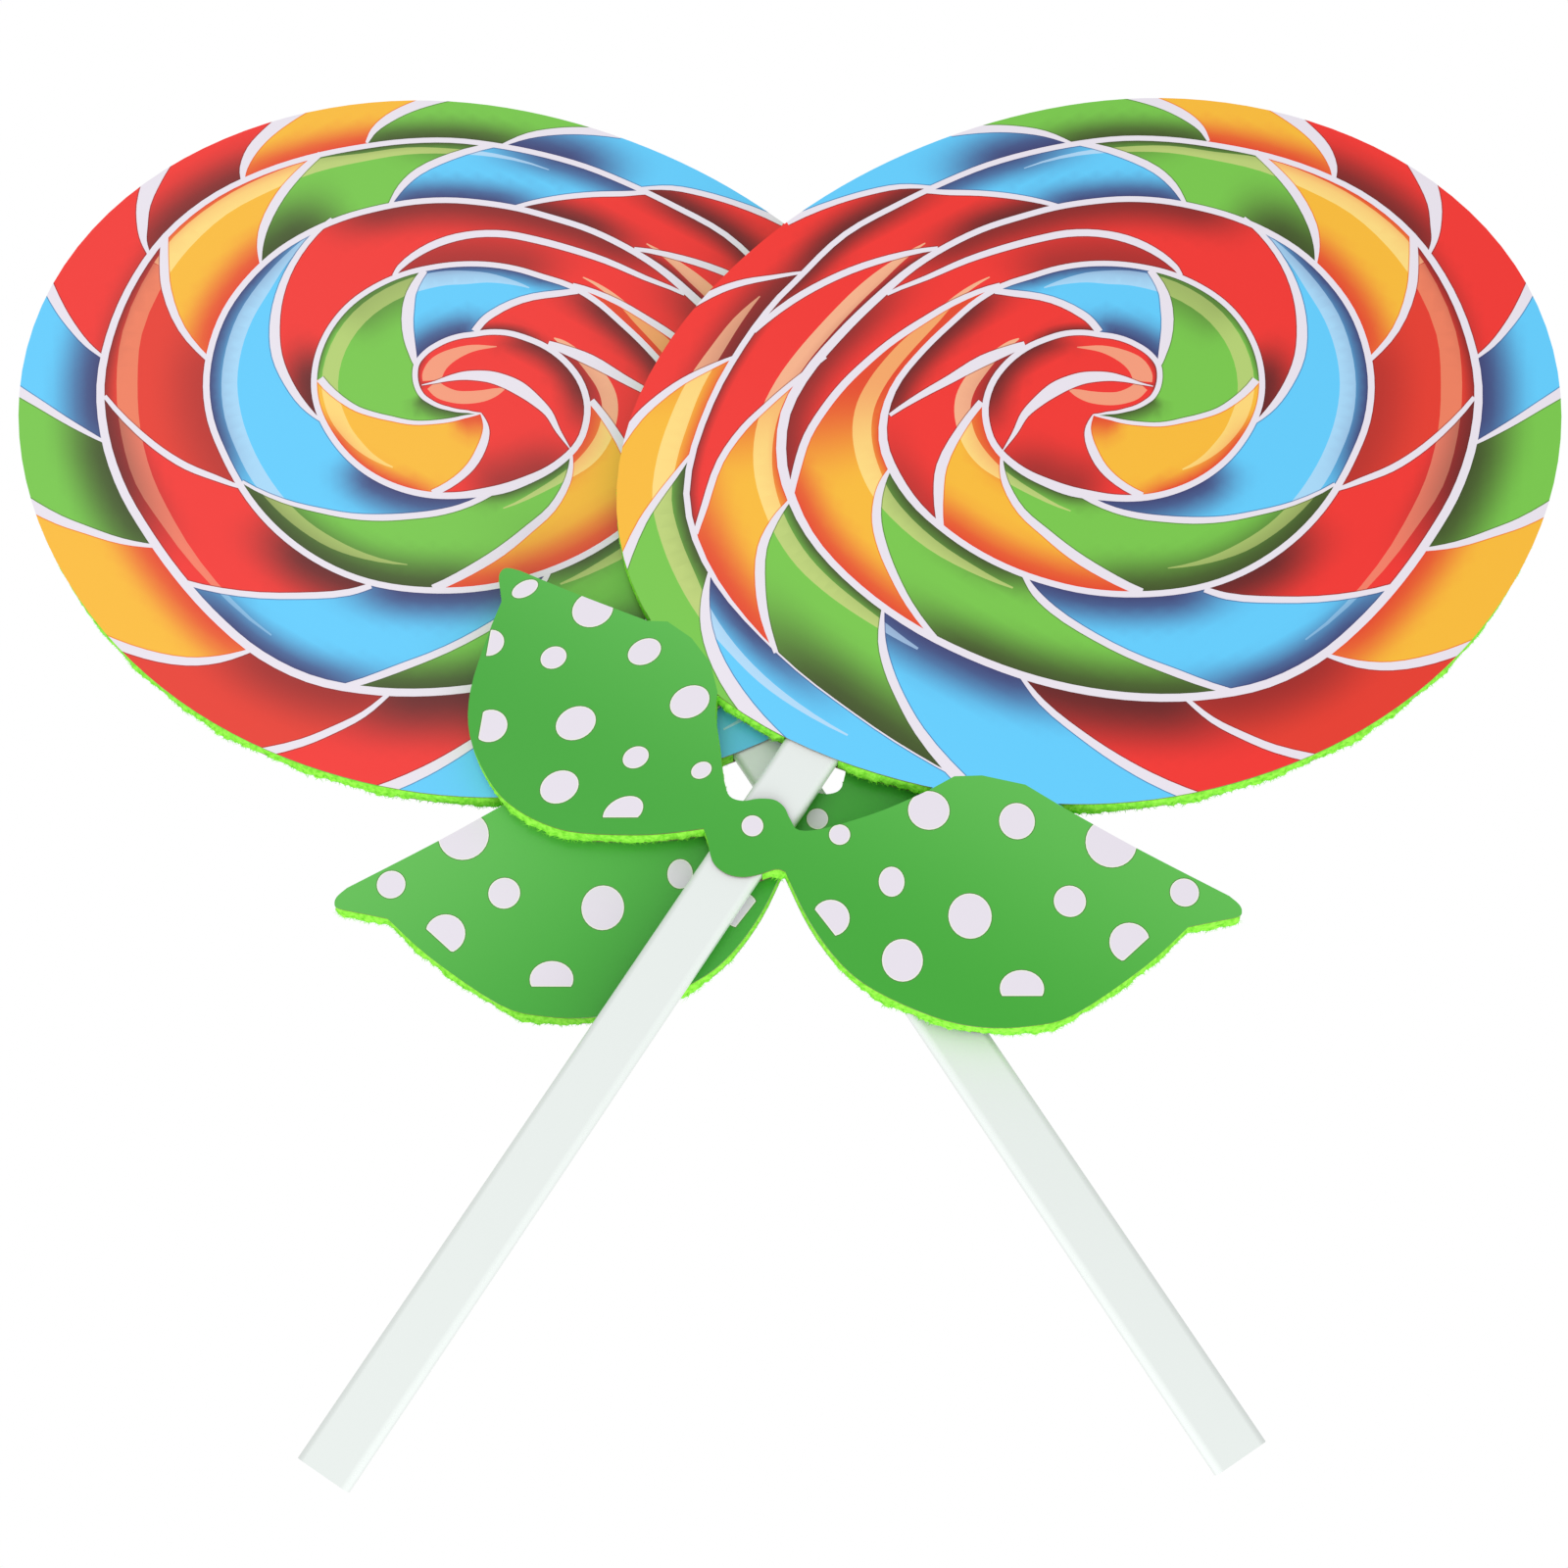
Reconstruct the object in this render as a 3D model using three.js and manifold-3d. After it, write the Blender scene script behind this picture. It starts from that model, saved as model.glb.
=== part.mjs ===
// A crossed pair of flat swirl-lollipop stage props, lying one on the other.
// Each prop is a sandwich: a die-cut printed card on both faces of a felt core, with a flat
// stick let into a slot in the core. The two props are the same product, and the one
// underneath is turned over, so the pair looks mirrored.
// Millimetres, +Z up, origin at the centre of the base of the pair.

import * as THREE from 'three';
import { mergeVertices } from 'three/addons/utils/BufferGeometryUtils.js';
import Module from 'manifold-3d';

const wasm = await Module();
wasm.setup();

// ---- Driving dimensions ----

const CARD_THICKNESS = 0.7;
const CORE_THICKNESS = 7.4;
const GLUE_GAP = 0.3; // clearance kept between every two pieces
const PROP_THICKNESS = CORE_THICKNESS + 2 * (GLUE_GAP + CARD_THICKNESS);

const STICK_WIDTH = 18;
const STICK_LENGTH = 400;
const STICK_EDGE_RADIUS = 2.4;
const STICK_EDGE_STEPS = 6;

// How the two props cross: each leans this far from the pair's centre line, and its
// stick's lower end stands this far to the side of that line.
const LEAN = THREE.MathUtils.degToRad(32.9);
const STICK_END_OFFSET = 135;
const BACK_PROP_SHIFT = 5; // the lower prop lies this much further up the sheet

// ---- Outlines, in one prop's own frame: Y runs up the stick from its lower end ----

// The disc is an oval, a little fuller at some places than at others: its radius is the
// mean plus the sum of height * cos(count * (angle - at)).
const DISC_CENTRE = new THREE.Vector2(21.9, 403.5);
const DISC_MEAN_RADIUS = 137.7;
const DISC_LOBES = [
  { count: 2, height: 17.3, at: 49.1 },
  { count: 3, height: 2.2, at: -19 },
  { count: 4, height: 2.2, at: -41.1 },
  { count: 5, height: 0.4, at: 11.5 },
  { count: 6, height: 0.4, at: -8.6 },
];
const DISC_STEPS = 120;

// The bow is one closed outline of smooth stretches that meet at corners. Each stretch
// ends where the next one begins.
const BOW_STRETCHES = [
  // left leaf, top edge from the tip to the notch beside the disc
  [[-111, 263], [-90, 266.5], [-67, 271]],
  // left leaf, where it passes over the disc
  [[-67, 271], [-61.5, 274.3], [-52, 273.8], [-42.5, 270.2], [-35, 263.2]],
  // window side: left leaf, knot crest, right leaf
  [
    [-35, 263.2], [-31, 256], [-21.2, 244.4], [-16.9, 239.4], [-12.8, 236.4], [-8.6, 237.4],
    [-4.8, 240.7], [-0.5, 243], [3.4, 242.7], [7.2, 240.4], [11.5, 239], [18.5, 244.6],
    [29.9, 258.6], [38.7, 272.3],
  ],
  // right leaf, where it passes over the disc
  [[38.7, 272.3], [42.8, 280.2], [50, 285.2], [63, 290], [77.3, 290.1]],
  // right leaf, nearly straight top edge
  [[77.3, 290.1], [103, 291.2], [134.8, 293.6]],
  // right leaf, rounded tip
  [[134.8, 293.6], [138.8, 292.9], [140.6, 291.4], [140.4, 289.4], [135.2, 284.2], [129.1, 278.2]],
  // right leaf, belly
  [
    [129.1, 278.2], [124.3, 260.4], [113.8, 235.7], [104.2, 225.1], [91.8, 216.7],
    [78, 211.6], [58.7, 208.8], [45.1, 210.2], [29.8, 216.2], [15, 225.4],
  ],
  // underside of the knot
  [[15, 225.4], [12, 224.4], [7.9, 219.3], [3.8, 216.1], [-1, 214.8], [-6, 216], [-11, 220.9], [-14, 223.2]],
  // left leaf, belly
  [
    [-14, 223.2], [-27.1, 212.4], [-45.5, 201.2], [-57, 197.4], [-69, 196.8], [-79.6, 199.9],
    [-92.6, 208.4], [-101.2, 221.1], [-107.2, 239.7], [-110, 251.3],
  ],
  // left leaf, rounded tip
  [[-110, 251.3], [-113.3, 254.9], [-115.8, 258.2], [-115.3, 261.3], [-111, 263]],
];
const FACETS_PER_SPAN = 4; // straight facets between two points of a stretch

function discOutline() {
  const points = [];
  for (let i = 0; i < DISC_STEPS; i += 1) {
    const angle = (i / DISC_STEPS) * Math.PI * 2;
    let radius = DISC_MEAN_RADIUS;
    for (const lobe of DISC_LOBES) {
      radius += lobe.height * Math.cos(lobe.count * (angle - THREE.MathUtils.degToRad(lobe.at)));
    }
    points.push(new THREE.Vector2(radius * Math.cos(angle), radius * Math.sin(angle)).add(DISC_CENTRE));
  }
  return points;
}

function bowOutline() {
  const points = [];
  for (const stretch of BOW_STRETCHES) {
    const curve = new THREE.SplineCurve(stretch.map(([x, y]) => new THREE.Vector2(x, y)));
    // the last point is left to the next stretch, which starts on it
    points.push(...curve.getPoints(FACETS_PER_SPAN * (stretch.length - 1)).slice(0, -1));
  }
  return points;
}

// ---- Solids ----

function toSolid(geometry) {
  geometry.deleteAttribute('normal');
  geometry.deleteAttribute('uv');
  const merged = mergeVertices(geometry, 1e-4);
  const mesh = new wasm.Mesh({
    numProp: 3,
    vertProperties: merged.attributes.position.array,
    triVerts: Uint32Array.from(merged.index.array),
  });
  return new wasm.Manifold(mesh);
}

function toGeometry(solid) {
  const mesh = solid.getMesh();
  const geometry = new THREE.BufferGeometry();
  geometry.setAttribute('position', new THREE.BufferAttribute(Float32Array.from(mesh.vertProperties), 3));
  geometry.setIndex(new THREE.BufferAttribute(Uint32Array.from(mesh.triVerts), 1));
  geometry.computeVertexNormals();
  return geometry;
}

// A flat slab of the given outline, centred on z = 0.
function slab(outline, thickness) {
  const shape = new THREE.Shape(outline);
  const geometry = new THREE.ExtrudeGeometry(shape, { depth: thickness, bevelEnabled: false });
  return toSolid(geometry.translate(0, 0, -thickness / 2));
}

// The die-cut lollipop: the disc and the bow in one piece.
function lollipopSlab(thickness) {
  return slab(discOutline(), thickness).add(slab(bowOutline(), thickness));
}

// The card's print runs over both the disc and the bow, so the card is one piece.
function cardGeometry() {
  return toGeometry(lollipopSlab(CARD_THICKNESS));
}

// The core has the card's outline, with a slot right through it for the stick.
function coreGeometry() {
  const slotWidth = STICK_WIDTH + 2 * GLUE_GAP;
  const slotLength = STICK_LENGTH + GLUE_GAP;
  const slot = new THREE.BoxGeometry(slotWidth, slotLength, 2 * CORE_THICKNESS);
  slot.translate(0, slotLength / 2, 0);
  return toGeometry(lollipopSlab(CORE_THICKNESS).subtract(toSolid(slot)));
}

// The stick is a flat bar with its four long edges rounded and its ends cut square.
function stickGeometry() {
  const halfWidth = STICK_WIDTH / 2;
  const halfThickness = CORE_THICKNESS / 2;
  const radius = STICK_EDGE_RADIUS;
  const corners = [
    [halfWidth - radius, halfThickness - radius, 0],
    [radius - halfWidth, halfThickness - radius, 1],
    [radius - halfWidth, radius - halfThickness, 2],
    [halfWidth - radius, radius - halfThickness, 3],
  ];
  const section = new THREE.Shape();
  for (const [x, y, quarter] of corners) {
    const start = (quarter * Math.PI) / 2;
    section.absarc(x, y, radius, start, start + Math.PI / 2, false);
  }
  const geometry = new THREE.ExtrudeGeometry(section, {
    depth: STICK_LENGTH,
    bevelEnabled: false,
    curveSegments: STICK_EDGE_STEPS,
  });
  // the bar is drawn along +Z, then laid along +Y
  geometry.rotateX(-Math.PI / 2);
  return toGeometry(toSolid(geometry));
}

// ---- Materials ----

const printedCard = new THREE.MeshStandardMaterial({ color: 0x4fb04a, roughness: 0.3, metalness: 0 });
const felt = new THREE.MeshStandardMaterial({ color: 0x7bea2e, roughness: 0.95, metalness: 0 });
const stickPlastic = new THREE.MeshStandardMaterial({ color: 0xe4ebe8, roughness: 0.3, metalness: 0 });

// ---- Assembly ----

function piece(name, geometry, material, height) {
  const mesh = new THREE.Mesh(geometry, material);
  mesh.name = name;
  mesh.position.z = height;
  return mesh;
}

// One prop in its own frame, with its mid-plane at z = 0 and its face card up.
function lollipop(prefix) {
  const cardHeight = (PROP_THICKNESS - CARD_THICKNESS) / 2;
  const prop = new THREE.Group();
  prop.add(
    piece(`${prefix}_face_card`, cardGeometry(), printedCard, cardHeight),
    piece(`${prefix}_felt_core`, coreGeometry(), felt, 0),
    piece(`${prefix}_stick`, stickGeometry(), stickPlastic, 0),
    piece(`${prefix}_rear_card`, cardGeometry(), printedCard, -cardHeight),
  );
  return prop;
}

const front = lollipop('front_lollipop');
front.rotation.z = -LEAN;
front.position.set(-STICK_END_OFFSET, 0, PROP_THICKNESS + GLUE_GAP + PROP_THICKNESS / 2);

// The lower prop is turned over about its own stick, so its rear card faces up and its
// outline is the mirror image of the upper one's.
const back = lollipop('back_lollipop');
back.rotation.set(0, Math.PI, LEAN, 'ZYX');
back.position.set(STICK_END_OFFSET, BACK_PROP_SHIFT, PROP_THICKNESS / 2);

const pair = new THREE.Group();
pair.add(front, back);

// The origin goes to the centre of the pair's base.
const extent = new THREE.Box3().setFromObject(pair, true);
const middle = extent.getCenter(new THREE.Vector3());
pair.position.set(-middle.x, -middle.y, -extent.min.z);

export default pair;
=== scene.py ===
# Looks for a crossed pair of swirl-lollipop stage props: printed cards on felt cores, with flat sticks.
import bisect
import math
import random

import bmesh
import bpy
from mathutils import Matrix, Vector, noise
from mathutils.geometry import delaunay_2d_cdt


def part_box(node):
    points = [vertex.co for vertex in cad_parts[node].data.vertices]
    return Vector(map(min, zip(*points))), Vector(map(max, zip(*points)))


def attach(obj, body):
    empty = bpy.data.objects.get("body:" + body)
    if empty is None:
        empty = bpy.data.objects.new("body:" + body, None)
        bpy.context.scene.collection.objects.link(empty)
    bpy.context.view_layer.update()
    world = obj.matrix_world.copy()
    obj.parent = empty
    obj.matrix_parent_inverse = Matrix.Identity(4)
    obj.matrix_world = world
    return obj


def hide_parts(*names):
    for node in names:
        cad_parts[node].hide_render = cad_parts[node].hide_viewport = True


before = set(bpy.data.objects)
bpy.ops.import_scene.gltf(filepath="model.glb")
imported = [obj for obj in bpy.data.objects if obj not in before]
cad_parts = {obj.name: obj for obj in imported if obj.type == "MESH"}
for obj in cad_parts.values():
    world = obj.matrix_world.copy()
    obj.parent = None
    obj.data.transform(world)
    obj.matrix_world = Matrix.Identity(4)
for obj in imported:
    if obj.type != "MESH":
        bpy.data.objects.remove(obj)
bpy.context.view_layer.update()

MM = 0.001

# ---- Where the props lie. The sticks of the frame give it. Lengths are in mm from here on ----

LEAN = math.radians(32.9)
STICK_WIDTH = 18.0
DISC_CENTRE = Vector((21.9, 403.5))
EYE = Vector((12.0, 20.0))  # the swirl winds about this point, measured from the disc's centre


def stick_foot(prefix):
    """The middle of the stick's lower end."""
    low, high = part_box(prefix + "_stick")
    inset = STICK_WIDTH / 2 * math.cos(LEAN)
    rise = STICK_WIDTH / 2 * math.sin(LEAN)
    x = low.x / MM + inset if prefix == "front_lollipop" else high.x / MM - inset
    return Vector((x, low.y / MM + rise))


FEET = {prefix: stick_foot(prefix) for prefix in ("front_lollipop", "back_lollipop")}


def turned(v, angle):
    cos, sin = math.cos(angle), math.sin(angle)
    return Vector((v.x * cos - v.y * sin, v.x * sin + v.y * cos))


def to_sheet(prefix, own):
    """From the prop's own frame, with Y up the stick, to its place on the sheet."""
    d = turned(own, -LEAN)
    if prefix == "back_lollipop":
        d.x = -d.x
    return FEET[prefix] + d


def to_own(prefix, place):
    d = place - FEET[prefix]
    if prefix == "back_lollipop":
        d.x = -d.x
    return turned(d, LEAN)


def polar_to_own(angle, radius):
    """A place given by its angle in degrees and its radius about the swirl's eye."""
    a = math.radians(angle)
    return DISC_CENTRE + turned(EYE + Vector((radius * math.cos(a), radius * math.sin(a))), LEAN)


def own_to_polar(own):
    d = turned(own - DISC_CENTRE, -LEAN) - EYE
    return math.degrees(math.atan2(d.y, d.x)) % 360, d.length


def smooth_value(points, x):
    """A smooth curve through (x, y) points that rise in x."""
    if x <= points[0][0]:
        return points[0][1]
    if x >= points[-1][0]:
        return points[-1][1]
    i = bisect.bisect_right(points, (x, math.inf)) - 1

    def slope(k):
        a = points[max(k - 1, 0)]
        b = points[min(k + 1, len(points) - 1)]
        return (b[1] - a[1]) / (b[0] - a[0])

    (x0, y0), (x1, y1) = points[i][:2], points[i + 1][:2]
    h = x1 - x0
    t = (x - x0) / h
    return (
        (2 * t**3 - 3 * t**2 + 1) * y0
        + (t**3 - 2 * t**2 + t) * h * slope(i)
        + (3 * t**2 - 2 * t**3) * y1
        + (t**3 - t**2) * h * slope(i + 1)
    )


# ---- The print on the disc ----
# It is a rope of coloured cells that winds outwards about the eye. Angles keep counting up
# from turn to turn, so one angle names one place along the rope.

# The white line that winds between the turns of the rope: (angle, radius).
SPIRAL = [
    (219.5, 17.5), (225, 15.4), (230, 13.7), (240, 11.8), (250, 10.3), (260, 9.3), (280, 8.2), (300, 7.7),
    (320, 7.8), (340, 8), (360, 8.5), (380, 9.5), (400, 11), (420, 12.2), (440, 13.8), (450, 15),
    (460, 16.5), (470, 18.3), (480, 20.5), (490, 24.2), (500, 28.3), (510, 32.4), (520, 37.3),
    (530, 42.1), (540, 46.5), (550, 49.6), (560, 51), (565, 51.1), (570, 50.5), (580, 48.4), (590, 45.9),
    (600, 44), (610, 42.2), (620, 41.2), (630, 40.6), (650, 39.9), (670, 39.9), (690, 40.5), (710, 42),
    (720, 42.5), (740, 43), (760, 43), (780, 42.5), (800, 42.7), (810, 43.4), (820, 44.6), (830, 46.3),
    (840, 48.4), (850, 51), (860, 55.3), (870, 59.3), (880, 63.6), (890, 70), (900, 78), (905, 81.3),
    (910, 83.8), (915, 85.2), (920, 85.2), (930, 83.9), (940, 81.4), (950, 79.1), (960, 77.1),
    (970, 75.6), (990, 73.9), (1010, 74), (1030, 74), (1050, 74.6), (1060, 75.5), (1070, 77.3),
    (1080, 78.4), (1090, 78.6), (1100, 78.2), (1110, 76.8), (1120, 75.1), (1130, 72.9), (1140, 70.9),
    (1150, 69.2), (1160, 68.4), (1170, 68), (1180, 68), (1190, 69), (1200, 70.8), (1210, 74.3),
    (1220, 78.5), (1230, 83.8), (1240, 89.8), (1250, 98.5), (1260, 109.7), (1265, 114.7), (1270, 117.6),
    (1275, 119.3), (1280, 119.6), (1285, 119.4), (1290, 118.4), (1300, 115.2), (1310, 112.2),
    (1320, 109.8), (1330, 108.6), (1340, 108.3), (1350, 108.8), (1360, 109.9), (1370, 111.1),
    (1380, 110.5), (1390, 108.8), (1400, 107.9), (1410, 108.4), (1420, 110.5), (1430, 112.4),
    (1440, 113.6), (1450, 113), (1460, 111.8), (1470, 110), (1480, 106.5), (1490, 101.8), (1500, 97.4),
    (1510, 93.9), (1520, 92), (1530, 91), (1540, 90.4), (1550, 91.1), (1560, 93.2), (1570, 96.3),
    (1580, 101.5), (1590, 109.3), (1600, 116), (1605, 120.8), (1610, 125.6), (1615, 130.6), (1620, 136.1),
    (1625, 141.6), (1630, 147.2), (1635, 151.8), (1640, 153.6), (1645, 153.7), (1650, 152.6), (1655, 151),
    (1660, 149.6), (1670, 147.2), (1680, 147.2), (1686, 148.2),
]
SPIRAL_START = SPIRAL[0][0]
SPIRAL_END = SPIRAL[-1][0]
OUTER_BAND_WIDTH = 40.0

# The line's width along the rope: (angle, width).
SPIRAL_WIDTHS = [
    (219.5, 0.5), (235, 1.1), (300, 1.6), (420, 1.9), (560, 2.2), (580, 2.6), (600, 3.4), (620, 2.4),
    (700, 2), (860, 2), (900, 2.2), (920, 3), (940, 2.2), (1100, 2.2), (1220, 2.2), (1240, 2.8),
    (1275, 3.2), (1290, 2.4), (1340, 2.6), (1420, 2.8), (1500, 2), (1600, 2), (1640, 2), (1650, 1.4),
    (1658, 0.6), (1686, 0.5),
]

# The rope's coloured cells in order: (colour, airbrushed shades, the white line before the cell).
# A shade is (where, from, to, depth, strength): it runs along the cell's inner or outer edge
# between two angles and fades over its depth, or goes right across. The line's points are
# (angle, radius, width), from the rope's inner edge to its outer edge.
CELLS = [
    ("red", [("out", 134, 206, 12, 0.95), ("out", 200, 262, 20, 0.55), ("out", -30, 70, 2.4, 1)], []),
    ("yellow", [("in", 196, 262, 16, 1), ("out", 262, 350, 7, 1)], [
        (219.5, 17.5, 0.4), (225, 21.5, 1.6), (230, 24, 2.4), (240, 27.9, 3), (250, 32, 2.9),
        (260, 35.6, 2.6), (272, 39.8, 2.4),
    ]),
    ("green", [("in", 215, 335, 7, 0.9), ("out", 350, 460, 3.5, 0.8), ("out", 382, 462, 20, 0.6)], [
        (219.5, 17.5, 0.4), (230, 15.7, 0.9), (240, 14.6, 1.2), (260, 14, 1.4), (280, 14.6, 1.4),
        (300, 16.8, 1.5), (320, 20.5, 1.7), (332, 24.8, 1.8), (341, 29.3, 1.9), (350, 33.8, 2.2),
        (362, 40.6, 2.6),
    ]),
    ("blue", [("in", 385, 490, 13, 1), ("out", 425, 512, 7, 0.95)], [
        (398, 11.3, 1.5), (407.5, 15, 2.6), (415, 20, 3.6), (426, 30, 4), (431, 35, 3.2),
        (440, 42, 2.2),
    ]),
    ("red", [("in", 460, 525, 6, 0.9), ("out", 492, 566, 12, 0.95)], [
        (479, 21.5, 2.5), (480, 26, 2.6), (482.5, 30, 2.7), (490.3, 40, 2.5), (499, 50, 2.4),
        (503, 56, 2),
    ]),
    ("red", [("in", 505, 565, 10, 0.6), ("out", 545, 600, 14, 0.35)], [
        (518, 38, 2.2), (524, 43, 3.2), (530.5, 50, 4), (538.3, 60, 3), (543.4, 70, 2.2),
        (548, 81, 1.2),
    ]),
    ("yellow", [("in", 530, 612, 11, 0.95), ("out", 558, 650, 15, 1)], [
        (547.5, 50.5, 2.4), (551, 54, 2.4), (556.5, 60, 2.7), (564.8, 70, 3.4), (571, 75.5, 3.2),
        (578.5, 82, 2),
    ]),
    ("green", [("in", 555, 622, 7, 1), ("out", 604, 708, 17, 1)], [
        (570.5, 51, 0.8), (575, 53.5, 1.6), (580, 55.8, 2.2), (590, 59, 2.6), (600, 60.8, 3),
        (610, 64, 3.4), (620, 68, 3.2), (630, 73.2, 2.6),
    ]),
    ("blue", [("in", 592, 684, 15, 1), ("out", 684, 776, 9, 1)], [
        (606, 43.5, 2), (620, 45.4, 2), (630, 46.8, 2.2), (640, 48.6, 2.2), (650, 51.5, 2.3),
        (660, 55.3, 2), (670, 59.8, 1.7), (680, 66, 1.4), (691, 73.5, 1),
    ]),
    ("red", [("in", 680, 745, 16, 1), ("out", 768, 880, 15, 0.75)], [
        (701, 42, 0.8), (710, 46.3, 2.2), (720, 51.1, 2.8), (730, 56.2, 3.4), (740, 60.4, 3.4),
        (750, 64.4, 2.8), (760, 68, 2.2), (771, 71.3, 1.8), (777, 72.5, 1.5),
    ]),
    ("red", [("in", 772, 862, 20, 0.5), ("out", 866, 936, 15, 0.7)], [
        (786, 43.2, 1.2), (790, 45.5, 2), (800, 49.5, 2.6), (810, 53, 2.8), (820, 56, 2.6),
        (830, 58.6, 2.6), (840, 61, 2.5), (850, 64.7, 2.4), (860, 70.2, 2.2), (870, 77.5, 1.8),
        (878, 87, 1.2),
    ]),
    ("yellow", [("across", 832, 922, 1, 1), ("in", 870, 940, 7, 0.95), ("out", 898, 972, 15, 1)], [
        (860, 56, 1.6), (870, 63, 2), (880, 71, 2.2), (885, 76, 2.4), (890, 81.8, 2.4), (895, 88, 2.5),
        (900, 95, 2.6), (905, 102, 2.6), (910, 109, 2.6), (915, 114.5, 2.6), (919, 119, 2),
    ]),
    ("green", [("in", 905, 975, 10, 1), ("out", 936, 1020, 17, 1)], [
        (920.4, 85.5, 0.8), (923, 90, 2), (926, 94, 2.6), (930, 98, 3), (935, 101.3, 3),
        (940, 104.1, 2.6), (946, 107.5, 2.2), (954, 111.5, 1.8),
    ]),
    ("blue", [("in", 940, 1020, 15, 1), ("out", 988, 1050, 13, 1)], [
        (961, 77.5, 1.4), (965, 81, 2.4), (970, 84.2, 2.6), (980, 89.8, 2.4), (990, 96.6, 2.4),
        (996, 101.5, 2.6), (1004, 110, 2),
    ]),
    ("red", [("in", 984, 1046, 18, 1), ("out", 1040, 1102, 16, 0.9)], [
        (1005.6, 75, 2), (1010, 79.3, 2.3), (1020, 87.5, 2.2), (1030, 97.8, 2), (1039, 108, 1.6),
    ]),
    ("brick", [("in", 1030, 1105, 20, 0.42), ("out", 1060, 1125, 6, 0.95)], [
        (1050, 75, 1.2), (1055, 81, 2), (1060, 88.3, 2.3), (1065, 95, 2.2), (1070, 101.6, 2),
        (1077.5, 112, 1.4),
    ]),
    ("yellow", [("in", 1070, 1138, 15, 1), ("out", 1092, 1156, 7, 1)], [
        (1086.3, 79, 1.6), (1092.6, 90, 2.3), (1100, 100, 3), (1104.6, 105, 3), (1109.5, 110.2, 2.4),
    ]),
    ("green", [("in", 1098, 1146, 22, 1), ("out", 1128, 1196, 5.5, 1), ("out", 1152, 1204, 12, 0.65)], [
        (1115.2, 76.9, 0.8), (1118.5, 81, 2), (1123, 85.3, 3), (1130.5, 90.5, 3.2), (1136, 93.5, 2.8),
        (1142.5, 96.8, 2),
    ]),
    ("blue", [("in", 1138, 1206, 11, 1), ("out", 1172, 1235, 11, 0.9)], [
        (1153.2, 69.3, 1.2), (1157.4, 75, 2.4), (1162.2, 79.7, 2.8), (1170, 84.7, 2.6),
        (1179.5, 90.5, 1.8),
    ]),
    ("red", [("in", 1168, 1230, 12, 1), ("out", 1204, 1264, 9, 0.9)], [
        (1189.3, 69.3, 1.5), (1195, 74.8, 1.8), (1200, 80, 2), (1205, 85.7, 2), (1210, 92, 2),
        (1213.5, 97.8, 1.5),
    ]),
    ("red", [("in", 1208, 1270, 6, 0.9), ("out", 1235, 1296, 5, 0.7)], [
        (1222, 80.5, 1.4), (1230, 92, 2.2), (1236, 101.5, 2.4), (1240, 108, 2.4), (1245, 116.3, 2.4),
        (1251.3, 126.5, 2),
    ]),
    ("yellow", [("across", 1232, 1276, 1, 0.95), ("in", 1244, 1296, 7, 0.9), ("out", 1262, 1320, 18, 1)], [
        (1254.6, 101.5, 0.9), (1259.6, 111.5, 1.8), (1263.8, 121, 2), (1267, 129, 2.2),
        (1271.5, 138.5, 2.2), (1277, 147, 2.2), (1280.3, 153, 1.6),
    ]),
    ("green", [("in", 1264, 1322, 7, 1), ("out", 1284, 1352, 22, 1)], [
        (1280.1, 120.5, 0.9), (1282.3, 127.5, 2.2), (1285.4, 135, 3), (1290, 141.5, 3.2),
        (1294.2, 146.3, 2.6), (1298.6, 150.3, 1.5),
    ]),
    ("blue", [("in", 1284, 1350, 18, 1)], [
        (1303.4, 114.5, 0.9), (1307, 122.7, 2.4), (1310.5, 128.5, 2.8), (1314.3, 133.8, 2.8),
        (1319, 140, 3.2), (1326.5, 148.5, 4),
    ]),
    ("red", [("in", 1310, 1375, 23, 1)], [
        (1328.9, 109.3, 1.2), (1333.3, 115.3, 2), (1340, 122.8, 2.4), (1345.7, 129.8, 3),
        (1350, 135.3, 3.4), (1356.5, 143.5, 3.8),
    ]),
    ("brick", [("in", 1340, 1400, 20, 0.7)], [
        (1356.6, 109.9, 1.4), (1360, 118, 2), (1363.8, 125, 2.4), (1367.6, 132, 2.6),
        (1373.5, 141.5, 3),
    ]),
    ("yellow", [("in", 1366, 1430, 16, 1)], [
        (1381.3, 110.4, 1.2), (1384.8, 118.8, 2.4), (1388.6, 125.8, 2.8), (1393.8, 132.8, 3),
        (1400, 140, 2.8),
    ]),
    ("green", [("in", 1390, 1450, 20, 1)], [
        (1407.4, 108.6, 1.2), (1411, 117, 2), (1415.2, 125.8, 2.6), (1418.3, 133, 3.2), (1423, 143, 4),
    ]),
    ("blue", [("in", 1413, 1470, 19, 1)], [
        (1429, 112.6, 1), (1431.9, 120, 1.8), (1434.8, 128, 2.4), (1436.8, 134, 2.8),
        (1439.4, 143, 3.4),
    ]),
    ("red", [("in", 1432, 1485, 7, 0.25)], [
        (1444.6, 113.7, 1), (1446.7, 120, 1.8), (1449.6, 127, 2.6), (1451.8, 132, 3.2), (1456, 141, 4),
    ]),
    ("red", [("in", 1448, 1510, 17, 0.85)], [
        (1465.2, 111.4, 1), (1467, 115.5, 2), (1469, 118.6, 3.4), (1472.5, 123.3, 4.7),
        (1477.3, 127.3, 6.5), (1480, 129, 7),
    ]),
    ("yellow", [("in", 1470, 1535, 12, 1)], [
        (1486.6, 103, 1), (1488.6, 107, 2.6), (1492, 110.8, 3.8), (1496, 113.2, 4), (1501, 115.2, 4.6),
        (1505, 116.5, 5),
    ]),
    ("green", [("in", 1495, 1560, 11, 1)], [
        (1512.1, 94.6, 1), (1514.2, 98.5, 2.2), (1517.5, 101.8, 3.2), (1521.7, 104.6, 3.4),
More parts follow.
